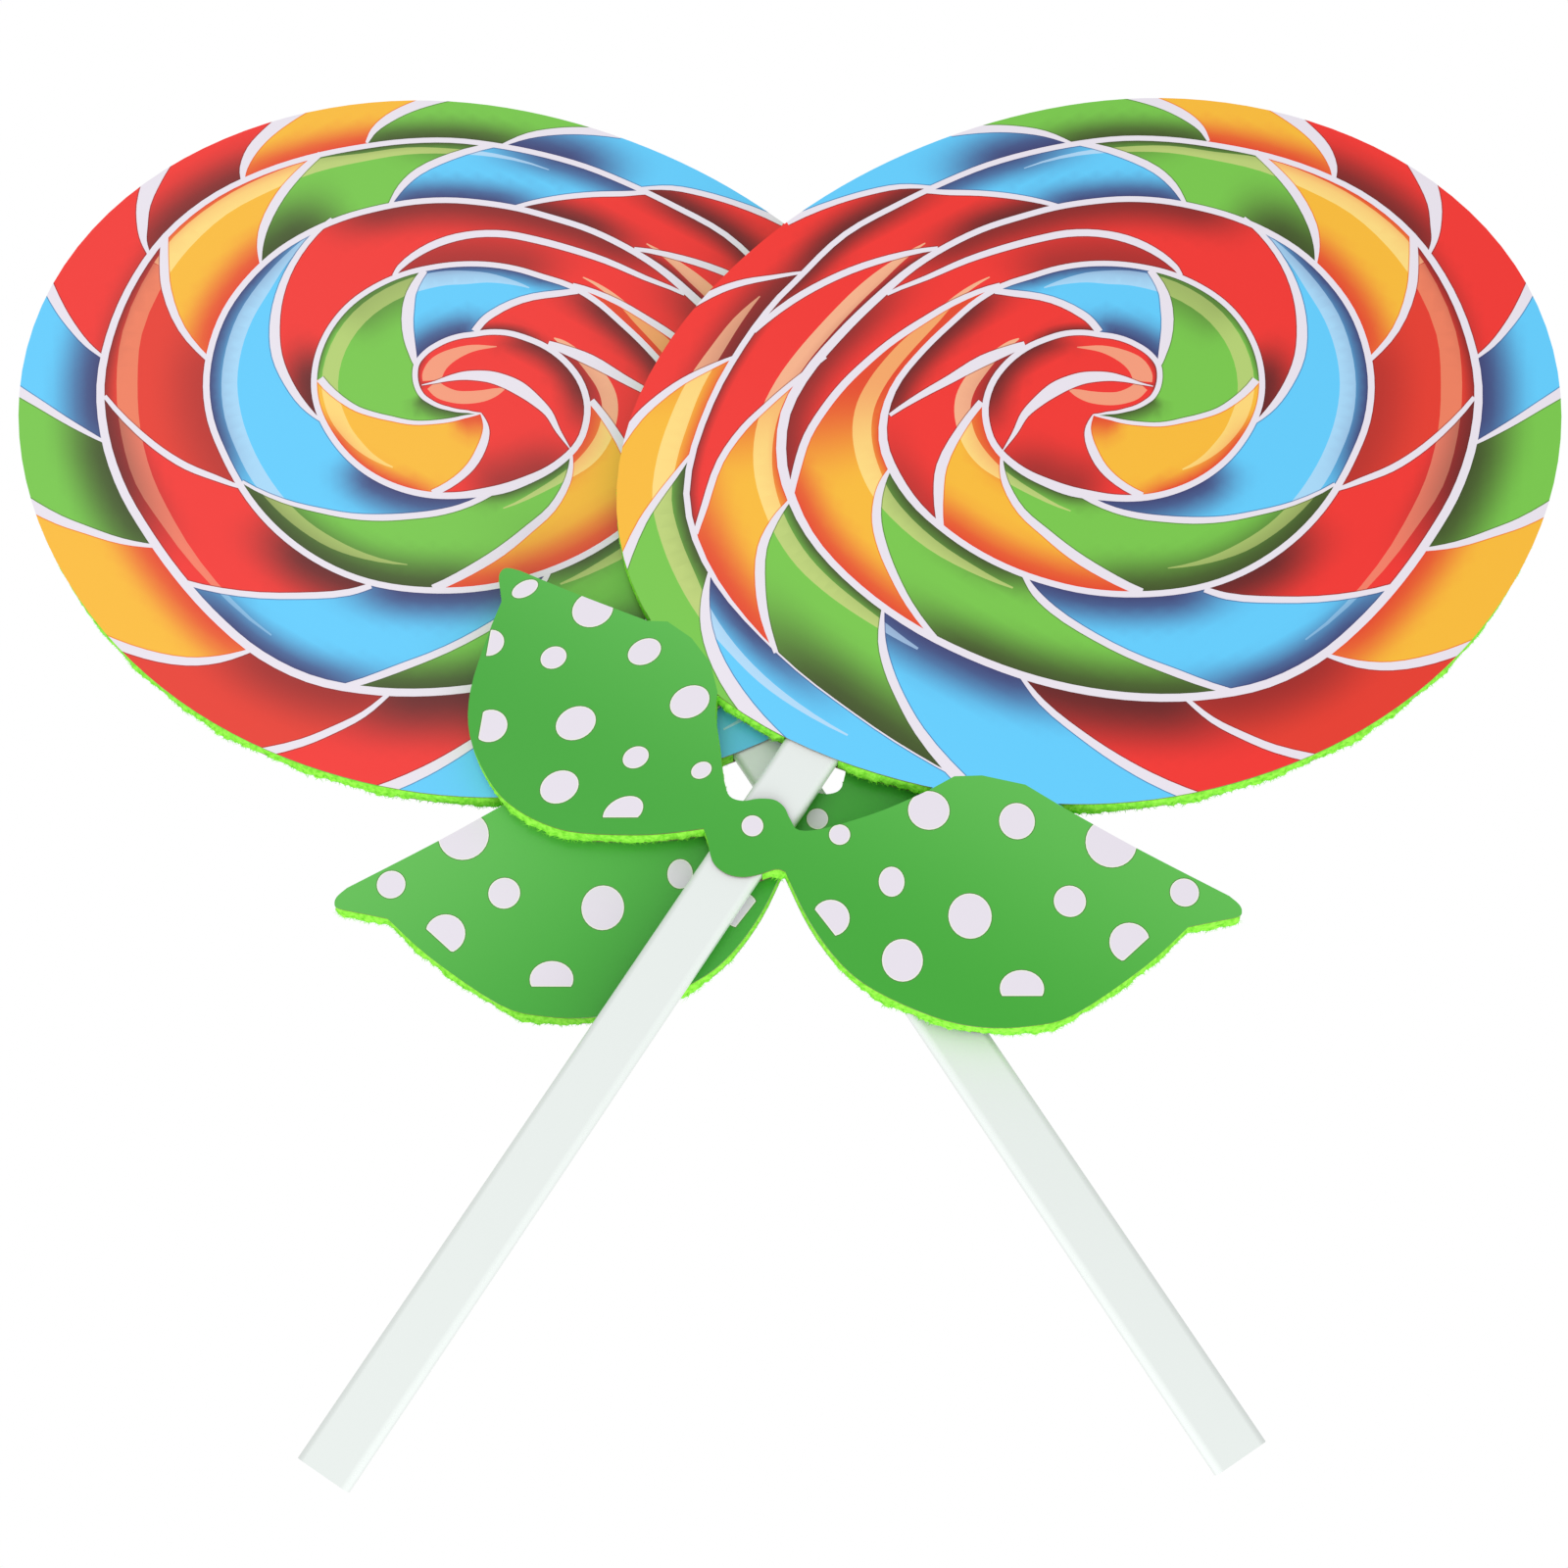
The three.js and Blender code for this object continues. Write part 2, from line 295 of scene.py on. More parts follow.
        (1526.5, 107, 3.6), (1530, 108.5, 3.6),
    ]),
    ("blue", [("in", 1525, 1574, 17, 1)], [
        (1540.8, 90.4, 1), (1545.8, 96.4, 2.2), (1550.8, 101, 2.6), (1555, 104.5, 2.8), (1562, 110, 3),
    ]),
    ("red", [("in", 1555, 1614, 12, 1)], [
        (1572.1, 97.6, 1.2), (1576.2, 105, 1.8), (1580.8, 111.5, 2), (1585.4, 118, 2),
        (1592.5, 128.5, 2.4),
    ]),
    ("red", [("in", 1580, 1636, 18, 0.85)], [
        (1599.5, 116, 1), (1601.9, 125, 1.6), (1603.8, 133, 2.2), (1605.8, 140, 2.4), (1609, 149, 2.8),
    ]),
    ("yellow", [("across", 1584, 1626, 1, 0.7), ("in", 1600, 1650, 7, 0.7)], [
        (1615.7, 131.5, 0.9), (1617.7, 140, 1.8), (1619.6, 148, 2.2), (1621.9, 156, 2.6),
        (1624.2, 163, 2.8), (1628, 172, 3),
    ]),
    ("green", [("in", 1610, 1665, 8, 1)], [
        (1629.6, 146.8, 0.9), (1632.3, 154, 1.8), (1634.6, 161, 2.2), (1636.9, 168, 2.6),
        (1641.5, 180, 3.6),
    ]),
    ("blue", [("in", 1624, 1672, 11, 1)], [
        (1645.5, 153.9, 0.9), (1648.3, 159.2, 2.6), (1651.5, 163.8, 3.6), (1655.8, 167.2, 4.4),
        (1661.5, 169.3, 5), (1667, 170, 5),
    ]),
]

# Pale translucent streaks along the rope: (strength, [(angle, radius, width), ...]).
STREAKS = [
    (0.5, [
        (300, 103.2, 0.5), (315, 101, 2), (330, 101, 4), (340, 102.8, 6), (350, 103.8, 6.5),
        (360, 104.8, 7), (370, 106, 6.6), (384, 105, 6.8),
    ]),
    (0.85, [
        (384, 105, 6.8), (390, 104, 7), (400, 101, 6), (410, 97, 6), (420, 93.5, 5), (430, 89.7, 3.2),
        (440, 88.2, 2.7), (450, 86.8, 2), (460, 86.5, 1.4), (473, 86.5, 0.3),
    ]),
    (0.75, [
        (277.6, 65.5, 0.3), (290, 66, 2), (300, 66.5, 3.4), (310, 66.9, 3.8), (320, 67.3, 4.5),
        (330, 67.9, 5.2), (340, 68.6, 5.2), (350, 69.8, 5.5), (360, 70.7, 5.3), (370, 71, 5.2),
        (380, 71, 5.2), (390, 70.5, 4.6), (400, 71, 2.6), (410, 71.8, 0.8),
    ]),
    (0.75, [
        (296, 34, 0.5), (310, 34.6, 2), (320, 35, 3.2), (330, 35.6, 4), (340, 36.2, 5),
        (350, 36.8, 5.2), (360, 37.2, 5.5), (380, 37.3, 5.5), (400, 37.3, 5.6), (420, 37.3, 5.6),
        (440, 37.9, 5.6), (450, 38.6, 5.4), (460, 39.4, 5), (470, 41.2, 3.6), (480, 43, 2),
        (489, 45, 0.4),
    ]),
    (0.85, [
        (165.5, 127, 0.4), (170, 132.3, 3), (175, 137.8, 4.5), (180, 144.2, 5.5), (185, 149.8, 6.3),
        (190, 155.5, 6.5), (195, 160, 6.3), (200, 161.2, 6.3), (205, 161.4, 6.2), (210, 161.6, 4.6),
        (215, 160.7, 3.2), (220, 159.4, 2.8), (225, 157.3, 2), (232, 154, 0.6),
    ]),
    (0.85, [
        (142.7, 85, 0.4), (150, 89, 2.5), (155, 92, 4), (160, 95.5, 4.6), (165, 99.4, 4.8),
        (170, 104, 5), (175, 109.4, 5.2), (180, 115, 5.6), (185, 120, 6), (190, 123.6, 6.2),
        (195, 125.8, 6), (200, 126.6, 5.6), (205, 126.5, 5.5), (210, 125.5, 5.2), (215, 123.4, 4.6),
        (220, 121, 4), (225, 119, 3), (232, 117.3, 0.8),
    ]),
    (0.85, [
        (140, 60.5, 0.4), (145, 62.7, 1.2), (150, 64.8, 1.8), (155, 66.8, 2.4), (160, 68.8, 3),
        (165, 72, 4), (170, 75.9, 4.8), (175, 80.1, 5.2), (180, 84.5, 5.6), (185, 88.4, 6),
        (190, 90.8, 6.2), (195, 91.9, 6.2), (200, 92.2, 6.2), (205, 92, 5.6), (210, 90.9, 5),
        (220, 88, 4), (230, 84.9, 2.6), (240, 82.8, 0.6),
    ]),
    (0.85, [
        (156.2, 40.6, 0.4), (160, 42.6, 2), (165, 45.3, 2.6), (170, 47.9, 3.6), (175, 50.8, 4.6),
        (180, 53.7, 5), (185, 56, 5.3), (190, 57.3, 5.3), (195, 57.8, 5.2), (200, 57.9, 5.2),
        (205, 57.4, 5.2), (210, 56.4, 4.8), (215, 55, 3.8), (220, 53.5, 2.8), (230, 51.5, 1.8),
        (244, 50.2, 0.4),
    ]),
]

# The innermost cell, the rope's head, has a white crescent and two streaks round the eye. Their
# points are (x, y, width) from the disc's centre.
HEAD_LINE = [
    (-31.4, -3.8, 0.3), (-27.3, 2.6, 1.6), (-24, 8.9, 2.6), (-19, 14, 3.8), (-14, 17.9, 4.8),
    (-9, 20.5, 4.6), (-3.5, 22.2, 4.1), (3.5, 22.6, 3.2), (9, 21.7, 2.1), (14, 20.2, 0.9), (18.5, 19.1, 0.3),
]
HEAD_STREAKS = [
    [(-6, 33.2, 0.3), (2, 32.6, 2.5), (8.5, 30.2, 4.5), (13, 27, 6.3), (15, 23.3, 6.8), (15, 20.8, 6.5)],
    [
        (15, 19.3, 4.5), (12, 16.6, 5), (7.5, 14.9, 4.6), (3, 14.6, 4.6), (-2, 15.2, 4.2),
        (-6, 16.5, 3), (-9, 17.8, 0.8),
    ],
]
HEAD_STREAK_STRENGTH = 0.7

# Colours are display values from 0 to 255 until they reach a mesh or a shader.
COLOURS = {
    "red": (240, 52, 46),
    "brick": (228, 58, 42),
    "yellow": (247, 186, 54),
    "green": (120, 198, 74),
    "blue": (98, 203, 250),
}
DARKS = {
    "red": (88, 28, 28),
    "brick": (120, 26, 28),
    "yellow": (226, 62, 38),
    "green": (58, 70, 30),
    "blue": (58, 54, 104),
}
STREAK_COLOURS = {
    "red": (245, 200, 156),
    "brick": (246, 196, 146),
    "yellow": (253, 224, 142),
    "green": (200, 210, 128),
    "blue": (190, 220, 246),
}
WHITE_LINE = (232, 226, 236)
BOW_GREEN = (64, 166, 53)
BOW_GREEN_PALE = (104, 193, 88)
FELT_LIGHT = (152, 238, 78)
FELT_DARK = (110, 208, 46)
DOT = (228, 222, 232)
DOT_RIM = (238, 240, 226)
DOT_OUTLINE = (74, 126, 52)
CARD_EDGE = (124, 104, 84)
STICK_WHITE = (226, 232, 229)

# How the colours mix, as shares from 0 to 1.
LINE_SHADOW = 0.4  # how much darker the print is right beside a white line
SHADE_LEVEL = 0.92  # how far the darkest shade goes towards a cell's dark colour
STREAK_DIMMING = 0.3  # how much a full shade takes from a streak

SHADE_FADE = 24.0  # degrees over which a long shade starts and ends
SHADE_FADE_SHARE = 0.4  # the most of a short shade's length that each end takes


def linear(colour):
    """A display colour as linear light."""
    parts = [c / 255 for c in colour]
    return tuple(c / 12.92 if c <= 0.04045 else ((c + 0.055) / 1.055) ** 2.4 for c in parts)


def spiral_radius(angle):
    return smooth_value(SPIRAL, angle)


def mix(a, b, t):
    return tuple(x + (y - x) * t for x, y in zip(a, b))


def ease(x):
    x = max(0.0, min(1.0, x))
    return x * x * (3 - 2 * x)


def rope_place(angle, radius):
    """How far along the rope a place is, with the radii of the rope's two edges there."""
    inner = angle if angle >= SPIRAL_START else angle + 360
    if radius < spiral_radius(inner):
        return inner - 360, 0.0, spiral_radius(inner)
    while inner + 360 <= SPIRAL_END and spiral_radius(inner + 360) <= radius:
        inner += 360
    edge = spiral_radius(inner)
    outer = spiral_radius(inner + 360) if inner + 360 <= SPIRAL_END else edge + OUTER_BAND_WIDTH
    return inner, edge, outer


CELL_STARTS = [[p[:2] for p in line] for _, _, line in CELLS]


def cell_at(along, radius):
    """The number of the rope's cell at a place: the last one whose first line has been passed."""
    found = 0
    for number, curve in enumerate(CELL_STARTS[1:], 1):
        if along > curve[-1][0] or (along > curve[0][0] and radius < smooth_value(curve, along)):
            found = number
    return found


def shade_at(shades, along, radius, edge, outer):
    """How dark the airbrushed shades make a place, from 0 to 1."""
    shade = 0.0
    for where, start, end, depth, strength in shades:
        away = {"in": radius - edge, "out": outer - radius, "across": 0.0}[where]
        if along < start or along > end or away > depth:
            continue
        fade = min(SHADE_FADE, SHADE_FADE_SHARE * (end - start))
        ends = ease((along - start) / fade) * ease((end - along) / fade)
        shade = max(shade, SHADE_LEVEL * strength * ends * ease(1 - max(0.0, away) / depth))
    return shade


def disc_paint(own, cell, streak):
    """The colour of a place in a cell, under a streak if streak isn't 0."""
    angle, radius = own_to_polar(own)
    along, edge, outer = rope_place(angle, radius)
    colour, shades, _ = CELLS[cell]
    shade = shade_at(shades, along, radius, edge, outer)
    paint = mix(COLOURS[colour], DARKS[colour], shade)
    if streak:
        paint = mix(paint, STREAK_COLOURS[colour], streak * (1 - STREAK_DIMMING * shade))
    return paint


# ---- The print on the bow ----

# Where the bow's leaves pass over the disc, then round the leaves well outside the card.
BOW_REGION = [
    (-67, 271), (-61.5, 274.3), (-52, 273.8), (-42.5, 270.2), (-35, 263.2), (-31, 256), (-21.2, 244.8),
    (-12, 241), (0, 245), (10, 242), (18.5, 246), (29.9, 260), (38.7, 272.3), (42.8, 280.2), (50, 285.2),
    (63, 290), (77.3, 290.1), (103, 292), (134.8, 295), (150, 300), (150, 180), (-130, 180), (-130, 275),
]

# Dots: (x, y, width, height), and for those cut off straight by the print, the direction
# from the dot's middle to the cut in degrees and its distance.
DOTS = [
    (-106.1, 258.7, 8.5, 4.6), (-83.9, 264.7, 13, 11), (-105.2, 237.4, 9, 8, 205, 0),
    (-85.2, 244.4, 8, 6.6), (-62, 261.8, 10.6, 7.6), (-66.9, 230.1, 12.6, 10),
    (-89.2, 214.6, 10.6, 10, 205, 2.6), (-40.6, 255.6, 12.6, 9.6), (-44.7, 231, 8, 6.2),
    (-25, 238.7, 6.2, 4.6), (-59.4, 209.9, 12, 9.6), (-38.1, 214, 13, 8.4, 303, 1.5),
    (-1.6, 232.2, 6.2, 6.2), (22.8, 244.6, 6, 6), (42, 266.4, 12.4, 12), (67, 278.4, 10.6, 11.2),
    (95.3, 288.4, 15.4, 15.4), (44.5, 240.6, 7.4, 9), (34.9, 220.6, 11, 11, 250, 2),
    (70.7, 244.5, 12.8, 13.8), (94.2, 265.3, 9.4, 9.4), (122.6, 287, 8.4, 8.4),
    (116.5, 264.1, 12, 12, 345, 2.5), (60.6, 221.3, 12, 12.8), (96.1, 233.7, 13, 11, 303, 2),
]
DOT_RIM_WIDTH = 0.3
DOT_OUTLINE_WIDTH = 0.55
DOT_STEPS = 28
LEFT_LEAF_TILT = math.radians(30)
LEFT_LEAF_END = -10  # dots with a smaller x are on the left leaf, and lie tilted
# The bow's green grows paler upwards.
PALE_FROM = 215
PALE_RISE = 90
PALE_STRENGTH = 0.8


def dot_outline(dot, grow):
    """A dot's outline, moved outwards by grow."""
    x, y, width, height = dot[:4]
    tilt = LEFT_LEAF_TILT if x < LEFT_LEAF_END else 0
    points = []
    for k in range(DOT_STEPS):
        a = math.tau * k / DOT_STEPS
        p = Vector(((width / 2 + grow) * math.cos(a), (height / 2 + grow) * math.sin(a)))
        p = turned(turned(p, tilt), LEAN)
        if len(dot) > 4:
            n = turned(Vector((1, 0)), math.radians(dot[4]))
            p -= n * max(0.0, p.dot(n) - dot[5] - grow)
        points.append(Vector((x, y)) + p)
    return points


def bow_paint(own):
    return mix(BOW_GREEN, BOW_GREEN_PALE, PALE_STRENGTH * ease((own.y - PALE_FROM) / PALE_RISE))


# ---- The printed card ----

GRID = 4.0  # the step of the points that carry the shading between the printed edges
GUIDE_WIDTH = 3.0
LINE_SHADOW_WIDTH = 0.35
SPIRAL_STEP = 3.0  # degrees
ROPE_STEPS = 3  # steps between two points of a line or streak on the rope
HEAD_STEPS = 4  # the same for the lines of the head
THINNEST = 0.1
CORNER_PULL = 0.03  # corners take their colour this far towards the middle of their triangle
TOP_TOLERANCE = 1e-5  # metres
CUT_TOLERANCE = 1e-5  # mm
GLUE_SIDE_TOLERANCE = 1e-7  # mm


def ribbon(places, widths):
    """The outline pieces of a line of varying width: one four-sided piece to each step."""
    left, right = [], []
    for k, (place, width) in enumerate(zip(places, widths)):
        ahead = places[min(k + 1, len(places) - 1)] - places[max(k - 1, 0)]
        side = Vector((-ahead.y, ahead.x)).normalized() * width / 2
        left.append(place + side)
        right.append(place - side)
    return [[left[k], right[k], right[k + 1], left[k + 1]] for k in range(len(places) - 1)]


def on_rope(points):
    """Places and widths of (angle, radius, width) points."""
    return [polar_to_own(p[0], p[1]) for p in points], [p[2] for p in points]


def off_rope(points):
    """Places and widths of a smooth line through (x, y, width) points from the disc's centre."""
    columns = [[(k, p[i]) for k, p in enumerate(points)] for i in range(3)]
    places, widths = [], []
    for step in range((len(points) - 1) * HEAD_STEPS + 1):
        x, y, width = (smooth_value(column, step / HEAD_STEPS) for column in columns)
        places.append(DISC_CENTRE + turned(Vector((x, y)), LEAN))
        widths.append(max(THINNEST, width))
    return places, widths


def resampled(points):
    """The same line of (angle, radius, width) points with smooth steps between them."""
    radii = [p[:2] for p in points]
    widths = [(p[0], p[2]) for p in points]
    out = []
    for a, b in zip(points, points[1:]):
        for k in range(ROPE_STEPS):
            angle = a[0] + (b[0] - a[0]) * k / ROPE_STEPS
            out.append((angle, smooth_value(radii, angle), max(THINNEST, smooth_value(widths, angle))))
    out.append(points[-1])
    return out


def spiral_line():
    count = int((SPIRAL_END - SPIRAL_START) / SPIRAL_STEP)
    angles = [SPIRAL_START + (SPIRAL_END - SPIRAL_START) * k / count for k in range(count + 1)]
    return [(a, spiral_radius(a), smooth_value(SPIRAL_WIDTHS, a)) for a in angles]


def chained(onward):
    """The closed loops made by following each point to the next one."""
    loops = []
    while onward:
        start = next(iter(onward))
        loop = [start]
        step = onward.pop(start)
        while step != start:
            loop.append(step)
            step = onward.pop(step)
        loops.append(loop)
    return loops


def outline_loops(node, prefix):
    """The closed outlines of a flat CAD piece in the prop's own frame, largest first."""
    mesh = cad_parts[node].data
    top = max(v.co.z for v in mesh.vertices)
    sides = []
    for polygon in mesh.polygons:
        if all(mesh.vertices[i].co.z > top - TOP_TOLERANCE for i in polygon.vertices):
            keys = [tuple(round(c / MM, 3) for c in mesh.vertices[i].co.xy) for i in polygon.vertices]
            sides += zip(keys, keys[1:] + keys[:1])
    known = set(sides)
    onward = {a: b for a, b in sides if (b, a) not in known}
    loops = [[to_own(prefix, Vector(p)) for p in loop] for loop in chained(onward)]
    return sorted(loops, key=lambda loop: -abs(signed_area(loop)))


def signed_area(loop):
    return sum(a.x * b.y - b.x * a.y for a, b in zip(loop, loop[1:] + loop[:1])) / 2


DOT_PAINTS = {"dot": DOT, "rim": DOT_RIM, "outline": DOT_OUTLINE}  # the innermost first


def triangle_paint(inside, corners):
    """The colours of a triangle's corners, from the kinds of printed area it lies inside."""
    if "bow" in inside:
        for kind, colour in DOT_PAINTS.items():
            if kind in inside:
                return [colour] * 3
        return [bow_paint(corner) for corner in corners]
    if "line" in inside:
        return [WHITE_LINE] * 3
    middle = (corners[0] + corners[1] + corners[2]) / 3
    angle, radius = own_to_polar(middle)
    cell = cell_at(rope_place(angle, radius)[0], radius)
    streak = max((kind for kind in inside if isinstance(kind, float)), default=0)
    paint = [disc_paint(corner.lerp(middle, CORNER_PULL), cell, streak) for corner in corners]
    if "shadow" in inside:
        paint = [mix(colour, DARKS[CELLS[cell][0]], LINE_SHADOW) for colour in paint]
    return paint


def print_pieces():
    """The card cut along every printed edge: its vertices, its triangles and each corner's colour.

    A piece's kind is a word, or the strength of a streak.
    """
    verts, faces, kinds = [], [], []

    def add(loop, kind):
        if signed_area(loop) < 0:
            loop = loop[::-1]
        faces.append(list(range(len(verts), len(verts) + len(loop))))
        verts.extend(loop)
        kinds.append(kind)

    loops = outline_loops("front_lollipop_face_card", "front_lollipop")
    add(loops[0], "card")
    for loop in loops[1:]:
        add(loop, "hole")
    add([Vector(p) for p in BOW_REGION], "bow")
    for dot in DOTS:
        add(dot_outline(dot, DOT_OUTLINE_WIDTH), "outline")
        add(dot_outline(dot, DOT_RIM_WIDTH), "rim")
        add(dot_outline(dot, 0), "dot")
    lines = [on_rope(spiral_line())]
    lines += [on_rope(resampled(line)) for _, _, line in CELLS[1:]]
    lines.append(off_rope(HEAD_LINE))
    for places, widths in lines:
        for piece in ribbon(places, widths):
            add(piece, "line")
        for piece in ribbon(places, [width + 2 * LINE_SHADOW_WIDTH for width in widths]):
            add(piece, "shadow")
    places, widths = lines[0]
    for piece in ribbon(places, [width + 2 * GUIDE_WIDTH for width in widths]):
        add(piece, "guide")  # paints nothing, and only keeps the shading beside the line even
    for strength, points in STREAKS:
        for piece in ribbon(*on_rope(resampled(points))):
            add(piece, strength)
    for points in HEAD_STREAKS:
        for piece in ribbon(*off_rope(points)):
            add(piece, HEAD_STREAK_STRENGTH)
    low = Vector((min(p.x for p in loops[0]), min(p.y for p in loops[0])))
    high = Vector((max(p.x for p in loops[0]), max(p.y for p in loops[0])))
    rows = int((high.y - low.y) / GRID) + 1
    columns = int((high.x - low.x) / GRID) + 1
    for row in range(rows):
        for column in range(columns):
            verts.append(low + Vector(((column + 0.5 * (row % 2)) * GRID, row * GRID)))
    points, _, triangles, _, _, sources = delaunay_2d_cdt(verts, [], faces, 0, CUT_TOLERANCE)

    kept, paints = [], []
    for triangle, source in zip(triangles, sources):
        inside = {kinds[i] for i in source}
        if "card" not in inside or "hole" in inside:
            continue
        kept.append(tuple(triangle))
        paints.append(triangle_paint(inside, [points[i] for i in triangle]))
    return points, kept, paints


PRINT = print_pieces()


def filled(rim, verts):
    """Triangles that fill the closed outlines made by the rim's edges, with windows left open."""
    loops = chained(dict(rim))
    flat = [Vector(verts[i][:2]) / MM for loop in loops for i in loop]
    numbers = [i for loop in loops for i in loop]
    faces, areas, first = [], [], 0
    for loop in loops:
        area = signed_area(flat[first:first + len(loop)])
        face = list(range(first, first + len(loop)))
        faces.append(face if area > 0 else face[::-1])
        areas.append(abs(area))
        first += len(loop)
    card = areas.index(max(areas))
    _, _, triangles, origins, _, sources = delaunay_2d_cdt(flat, [], faces, 0, GLUE_SIDE_TOLERANCE)
    return [
        [numbers[origins[k][0]] for k in triangle]
        for triangle, source in zip(triangles, sources)
        if list(source) == [card]
    ]


def new_piece(name, verts, faces, material):
    """A mesh object with all its faces turned outwards."""
    mesh = bpy.data.meshes.new(name)
    mesh.from_pydata(verts, [], faces)
    solid = bmesh.new()
    solid.from_mesh(mesh)
    bmesh.ops.recalc_face_normals(solid, faces=solid.faces[:])
    solid.to_mesh(mesh)
    solid.free()
    mesh.materials.append(material)
    obj = bpy.data.objects.new(name, mesh)
    bpy.context.scene.collection.objects.link(obj)
    return obj


def printed_card(name, prefix, node, faces_up, material):
    """A card with the print on its outward side, in the place of the plain CAD card."""
    points, triangles, paints = PRINT
    low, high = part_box(node)
    z_print, z_glue = (high.z, low.z) if faces_up else (low.z, high.z)
    used = sorted({i for triangle in triangles for i in triangle})
    index = {old: new for new, old in enumerate(used)}
    flat = [to_sheet(prefix, points[i]) * MM for i in used]
    verts = [(p.x, p.y, z_print) for p in flat]
    faces = [tuple(index[i] for i in triangle) for triangle in triangles]
    if faces_up == (prefix == "back_lollipop"):
        faces = [face[::-1] for face in faces]
        paints = [paint[::-1] for paint in paints]
    sides = {(a, b) for face in faces for a, b in zip(face, face[1:] + face[:1])}
    rim = [(a, b) for a, b in sides if (b, a) not in sides]
    below = {}
    for a, b in rim:
        for i in (a, b):
            if i not in below:
                below[i] = len(verts)
                verts.append((verts[i][0], verts[i][1], z_glue))
    walls = [(b, a, below[a], below[b]) for a, b in rim]
    back = [tuple(below[i] for i in triangle) for triangle in filled(rim, verts)]
    obj = new_piece(name, verts, faces + walls + back, material)
    mesh = obj.data
    layer = mesh.color_attributes.new("print", "FLOAT_COLOR", "CORNER")
    colour_of = {}
    for face, paint in zip(faces, paints):
        for i, colour in zip(face, paint):
            colour_of[(frozenset(face), i)] = colour
    for polygon in mesh.polygons:
        key = frozenset(polygon.vertices)
        for loop in polygon.loop_indices:
            colour = colour_of.get((key, mesh.loops[loop].vertex_index), CARD_EDGE)
            layer.data[loop].color = (*linear(colour), 1)
    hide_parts(node)
    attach(obj, prefix)


# ---- The felt's nap ----
# Felt stands out a little past the cards' cut edge all the way round, uneven and with loose
# fibres, and most of it shows along the lower edges.

NAP_OUT = 1.4  # how far it stands out along the lower edges, on average
NAP_OUT_ELSEWHERE = 0.25
NAP_STEP = 0.9
NAP_ROWS = 7
NAP_ROOT = 0.4  # how deep in the core it starts
NAP_LEVEL = 0.85
NAP_WAVES = [(0.8, 0.09, 0), (0.5, 0.45, 3)]  # the unevenness along it: (strength, scale, layer)
NAP_ROUGHNESS = 0.4
NAP_ROUGHNESS_SCALE = 0.9
NAP_BULGE_POWER = 0.7  # below 1 the bulge over the felt's thickness is fuller than a half wave
LOW_EDGE_FROM = 0.45  # how far down an edge has to face before it counts as a lower edge
LOW_EDGE_SPAN = 0.5

# The slot for the stick has no nap on its sides.
SLOT_HALF_WIDTH = 9.3
SLOT_END = 400.5
SLOT_MARGIN = 0.3
SLOT_FADE = 2.5

FIBRES_PER_STEP = 3
FIBRE_BASE = [(-0.13, -0.1), (0.13, -0.1), (0, 0.15)]  # (along the edge, up)
FIBRE_ROOT = 0.3  # how deep in the nap it starts
FIBRE_LEAN = 0.9  # the most that it leans along the edge
FIBRE_REACH = 0.8  # the most that it stands out past the nap, before its own length
FIBRE_LENGTHS = (0.3, 1.2)  # the shortest and the longest, as shares of that
FIBRE_MARGIN_BELOW = 1.4
FIBRE_MARGIN_ABOVE = 1.8
FIBRE_RISE = 0.7


def even_stations(loop):
    """Places at an even step round a closed outline, each with the direction of the outline there."""
    ends = loop[1:] + loop[:1]
    lengths = [(b - a).length for a, b in zip(loop, ends)]
    count = max(8, int(sum(lengths) / NAP_STEP))
    stations, k, before = [], 0, 0.0
    for i in range(count):
        at = sum(lengths) * i / count
        while at > before + lengths[k]:
            before += lengths[k]
            k += 1
        stations.append((loop[k].lerp(ends[k], (at - before) / lengths[k]), (ends[k] - loop[k]).normalized()))
    return stations


def nap_height(place, out):
    """How far the nap stands out at a place: nothing on the sides of the stick's slot."""
    height = NAP_LEVEL
    for strength, scale, layer in NAP_WAVES:
        height += strength * noise.noise(Vector((place.x * scale, place.y * scale, layer)))
    if place.y < SLOT_END:
        height *= ease((abs(place.x) - SLOT_HALF_WIDTH - SLOT_MARGIN) / SLOT_FADE)
    low_side = ease((-turned(out, -LEAN).y - LOW_EDGE_FROM) / LOW_EDGE_SPAN)
    return (NAP_OUT_ELSEWHERE + (NAP_OUT - NAP_OUT_ELSEWHERE) * low_side) * max(0.0, height)


